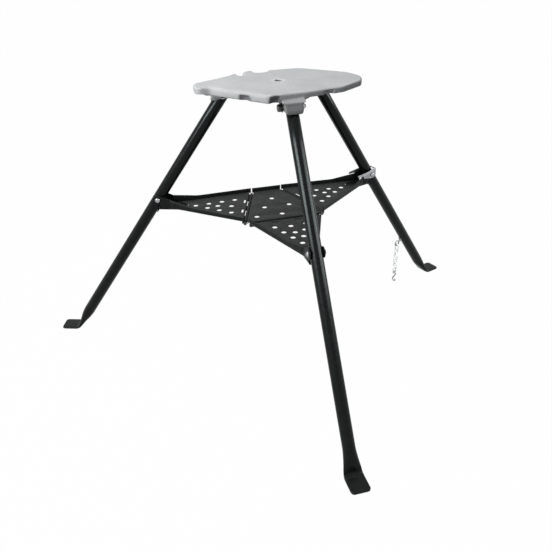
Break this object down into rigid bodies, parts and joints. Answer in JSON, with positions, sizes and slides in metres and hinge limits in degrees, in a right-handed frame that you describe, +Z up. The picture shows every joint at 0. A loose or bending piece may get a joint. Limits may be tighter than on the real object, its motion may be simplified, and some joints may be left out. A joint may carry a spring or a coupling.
{
  "type": "pipe threader stand",
  "caption": "Folding tripod stand: cast top plate on splayed tube legs with flattened feet, joined by a hinged perforated tray, with a short chain on one leg",
  "frame": {"origin": "on the floor, under the middle of the stand's bounding box", "axes": "+Z up, the front leg points to -Y, +X to the right seen from the front"},
  "size_m": [1.3042, 0.927, 0.777],
  "materials": {
    "cast_plate": "satin cast, light grey",
    "leg_paint": "gloss black paint",
    "tray_paint": "satin dark grey paint",
    "dark_steel": "blackened steel",
    "zinc": "bright zinc plate"
  },
  "bodies": {
    "plate": {"top_plate": "cast_plate", "pivot_bolt_front": "dark_steel", "pivot_washer_front": "dark_steel", "pivot_nut_front": "dark_steel", "pivot_bolt_left": "dark_steel", "pivot_washer_left": "dark_steel", "pivot_nut_left": "dark_steel", "pivot_bolt_right": "dark_steel", "pivot_washer_right": "dark_steel", "pivot_nut_right": "dark_steel"},
    "tray": {"tray_centre": "tray_paint", "hinge_pin_front": "dark_steel", "hinge_pin_left": "dark_steel", "hinge_pin_right": "dark_steel"},
    "leg_front": {"leg_front": "leg_paint", "tray_rest_front": "leg_paint"},
    "wing_front": {"tray_wing_front": "tray_paint", "tray_screw_front_near": "zinc", "tray_screw_front_far": "dark_steel"},
    "leg_left": {"leg_left": "leg_paint", "tray_rest_left": "leg_paint"},
    "wing_left": {"tray_wing_left": "tray_paint", "tray_screw_left_near": "zinc", "tray_screw_left_far": "dark_steel"},
    "leg_right": {"leg_right": "leg_paint", "tray_rest_right": "leg_paint", "chain_eye": "dark_steel"},
    "wing_right": {"tray_wing_right": "tray_paint", "tray_screw_right_near": "zinc", "tray_screw_right_far": "dark_steel", "leg_strap": "zinc"},
    "chain": {"chain_link_1": "zinc", "chain_link_2": "zinc", "chain_link_3": "zinc", "chain_link_4": "zinc", "chain_link_5": "zinc", "chain_link_6": "zinc", "chain_hook": "dark_steel"}
  },
  "joints": [
    {"name": "leg_front_fold", "type": "hinge", "parent": "plate", "child": "leg_front", "pos_m": [0, 0.08452, 0.739], "axis": [1, 0, 0], "range_deg": [0, 34]},
    {"name": "leg_left_fold", "type": "hinge", "parent": "plate", "child": "leg_left", "pos_m": [-0.12797, 0.26393, 0.739], "axis": [-0.3256, -0.9455, 0], "range_deg": [0, 34]},
    {"name": "leg_right_fold", "type": "hinge", "parent": "plate", "child": "leg_right", "pos_m": [0.12797, 0.26393, 0.739], "axis": [-0.3256, 0.9455, 0], "range_deg": [0, 34]},
    {"name": "tray_lift", "type": "slide", "parent": "plate", "child": "tray", "axis": [0, 0, 1], "range_m": [0, 0.2187]},
    {"name": "wing_front_fold", "type": "hinge", "parent": "tray", "child": "wing_front", "pos_m": [0, 0.13786, 0.4125], "axis": [1, 0, 0], "range_deg": [0, 84.8]},
    {"name": "wing_left_fold", "type": "hinge", "parent": "tray", "child": "wing_left", "pos_m": [-0.07753, 0.24656, 0.4125], "axis": [-0.3256, -0.9455, 0], "range_deg": [0, 84.8]},
    {"name": "wing_right_fold", "type": "hinge", "parent": "tray", "child": "wing_right", "pos_m": [0.07753, 0.24656, 0.4125], "axis": [-0.3256, 0.9455, 0], "range_deg": [0, 84.8]},
    {"name": "chain_swing", "type": "hinge", "parent": "leg_right", "child": "chain", "pos_m": [0.46241, 0.37909, 0.1526], "axis": [0.3256, -0.9455, 0], "range_deg": [0, 34]}
  ],
  "couplings": [
    {"joint": "leg_left_fold", "follows": "leg_front_fold", "ratio": 1},
    {"joint": "leg_right_fold", "follows": "leg_front_fold", "ratio": 1},
    {"joint": "tray_lift", "follows": "leg_front_fold", "m_per_rad": 0.36845},
    {"joint": "wing_front_fold", "follows": "leg_front_fold", "ratio": 2.4938},
    {"joint": "wing_left_fold", "follows": "leg_front_fold", "ratio": 2.4938},
    {"joint": "wing_right_fold", "follows": "leg_front_fold", "ratio": 2.4938},
    {"joint": "chain_swing", "follows": "leg_front_fold", "ratio": 1}
  ]
}
